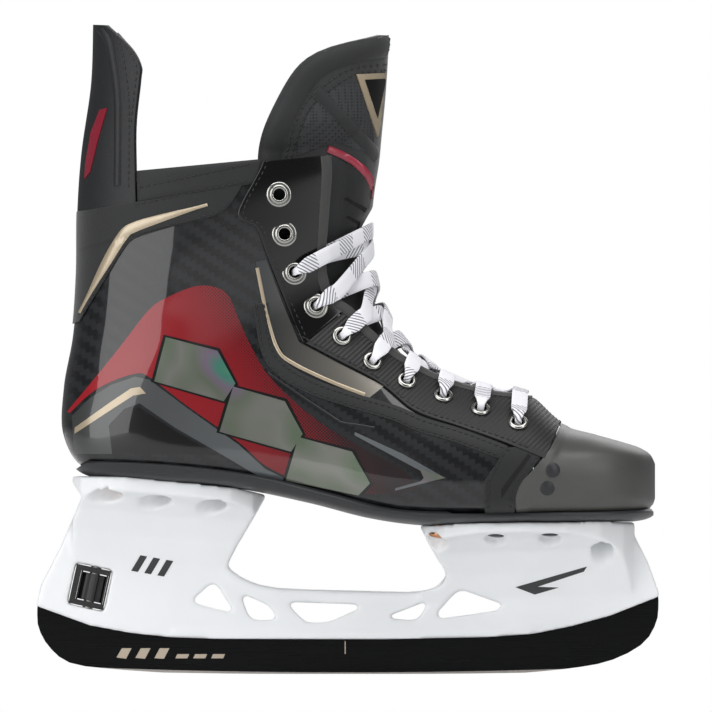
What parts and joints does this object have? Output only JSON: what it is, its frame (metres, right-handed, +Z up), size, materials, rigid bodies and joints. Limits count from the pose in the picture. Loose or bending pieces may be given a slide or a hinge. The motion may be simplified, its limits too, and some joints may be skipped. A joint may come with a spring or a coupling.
{
  "type": "ice hockey skate",
  "caption": "Right ice hockey skate: laced composite boot with tendon guard and tongue, moulded blade holder and a lockable steel runner.",
  "frame": {"origin": "bottom centre of the skate: on the ice, under the middle of its length, in the plane of the blade", "axes": "+X towards the toe, +Y towards the inner (medial) side of the foot, +Z up"},
  "size_m": [0.2965, 0.101, 0.309],
  "materials": {
    "shell": "clear-coated carbon composite with a red band",
    "outsole": "satin",
    "footbed": "felt over moulded foam",
    "toe_cap": "satin",
    "lining": "brushed microfibre",
    "synthetic_leather": "matte, stitched",
    "guard": "satin",
    "facing_gloss": "gloss",
    "facing_ribbed": "ribbed, satin",
    "eyelet_metal": "polished nickel",
    "lace": "flat woven",
    "holder": "moulded, satin gloss",
    "runner_steel": "black coated",
    "hardware_steel": "plain",
    "lock_plastic": "matte"
  },
  "bodies": {
    "boot": {"boot_shell": "shell", "outsole": "outsole", "footbed": "footbed", "toe_cap": "toe_cap", "ankle_liner": "lining", "tongue_lower": "synthetic_leather", "lace": "lace", "holder": "holder", "runner_pin": "hardware_steel", "lock_housing": "lock_plastic", "collar_pad_lateral": "synthetic_leather", "facing_upper_lateral": "facing_gloss", "facing_lower_lateral": "facing_ribbed", "eyelet_lateral_1": "eyelet_metal", "eyelet_lateral_2": "eyelet_metal", "eyelet_lateral_3": "eyelet_metal", "eyelet_lateral_4": "eyelet_metal", "eyelet_lateral_5": "eyelet_metal", "eyelet_lateral_6": "eyelet_metal", "eyelet_lateral_7": "eyelet_metal", "eyelet_lateral_8": "eyelet_metal", "eyelet_lateral_9": "eyelet_metal", "eyelet_lateral_10": "eyelet_metal", "collar_pad_medial": "synthetic_leather", "facing_upper_medial": "facing_gloss", "facing_lower_medial": "facing_ribbed", "eyelet_medial_1": "eyelet_metal", "eyelet_medial_2": "eyelet_metal", "eyelet_medial_3": "eyelet_metal", "eyelet_medial_4": "eyelet_metal", "eyelet_medial_5": "eyelet_metal", "eyelet_medial_6": "eyelet_metal", "eyelet_medial_7": "eyelet_metal", "eyelet_medial_8": "eyelet_metal", "eyelet_medial_9": "eyelet_metal", "eyelet_medial_10": "eyelet_metal", "rivet_1": "hardware_steel", "rivet_2": "hardware_steel", "rivet_3": "hardware_steel", "rivet_4": "hardware_steel", "rivet_5": "hardware_steel", "rivet_6": "hardware_steel", "rivet_7": "hardware_steel", "rivet_8": "hardware_steel", "rivet_9": "hardware_steel", "rivet_10": "hardware_steel", "rivet_11": "hardware_steel", "rivet_12": "hardware_steel", "rivet_13": "hardware_steel", "rivet_14": "hardware_steel"},
    "runner": {"runner": "runner_steel"},
    "lock_wheel": {"lock_wheel": "lock_plastic"},
    "lock_screw": {"lock_screw": "hardware_steel"},
    "tendon_guard": {"tendon_guard": "guard", "tendon_guard_lining": "lining"},
    "tongue_flap": {"tongue_upper": "synthetic_leather"}
  },
  "joints": [
    {"name": "runner_drop", "type": "hinge", "parent": "boot", "child": "runner", "pos_m": [0.121, 0, 0.041], "axis": [0, -1, 0], "range_deg": [0, 1.14]},
    {"name": "lock_screw_slide", "type": "slide", "parent": "boot", "child": "lock_screw", "axis": [-0.213, 0, -0.977], "range_m": [0, 0.005]},
    {"name": "lock_wheel_turn", "type": "hinge", "parent": "boot", "child": "lock_wheel", "pos_m": [-0.12162, 0, 0.04109], "axis": [0.213, 0, 0.977], "range_deg": [0, 720]},
    {"name": "tendon_guard_flex", "type": "hinge", "parent": "boot", "child": "tendon_guard", "pos_m": [-0.1288, 0, 0.2202], "axis": [0, -1, 0], "range_deg": [0, 22], "stiffness_Nm_per_rad": 1.5},
    {"name": "tongue_flex", "type": "hinge", "parent": "boot", "child": "tongue_flap", "pos_m": [0.0175, 0, 0.2515], "axis": [0, 1, 0], "range_deg": [0, 30], "stiffness_Nm_per_rad": 0.5}
  ],
  "couplings": [
    {"joint": "lock_screw_slide", "follows": "runner_drop", "m_per_rad": 0.25075},
    {"joint": "lock_wheel_turn", "follows": "runner_drop", "ratio": 630.2}
  ]
}
